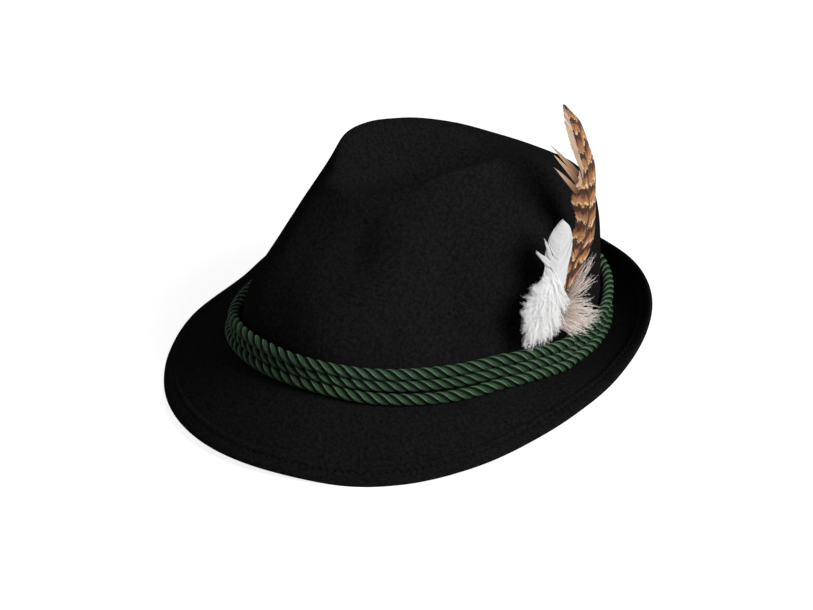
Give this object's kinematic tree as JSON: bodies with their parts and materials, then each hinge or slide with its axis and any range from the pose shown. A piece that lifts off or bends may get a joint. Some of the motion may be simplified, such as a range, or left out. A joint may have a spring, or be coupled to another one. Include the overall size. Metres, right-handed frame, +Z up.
{
  "type": "tyrolean hat",
  "caption": "Felt tyrolean hat with a pinched crown, a brim turned down in front and up at the back, twisted cords round the crown and feathers at the side.",
  "frame": {"origin": "middle of the bounding box's bottom face, on the surface that the hat rests on", "axes": "+Z up, the hat's front faces -Y, the wearer's left side, with the feathers, is +X"},
  "size_m": [0.2304, 0.2538, 0.1371],
  "materials": {
    "black_felt": "near-black wool felt, brushed, very matte",
    "green_cord": "dark green twisted satin cord with a soft sheen",
    "barred_plumage": "brown feather with dark bars and cream edges, soft and matte",
    "white_plumage": "white downy feather, soft and matte"
  },
  "bodies": {
    "root": {"felt_body": "black_felt", "cord_lower": "green_cord", "cord_middle": "green_cord", "cord_upper": "green_cord", "barred_feather": "barred_plumage", "white_feather": "white_plumage"}
  },
  "joints": []
}
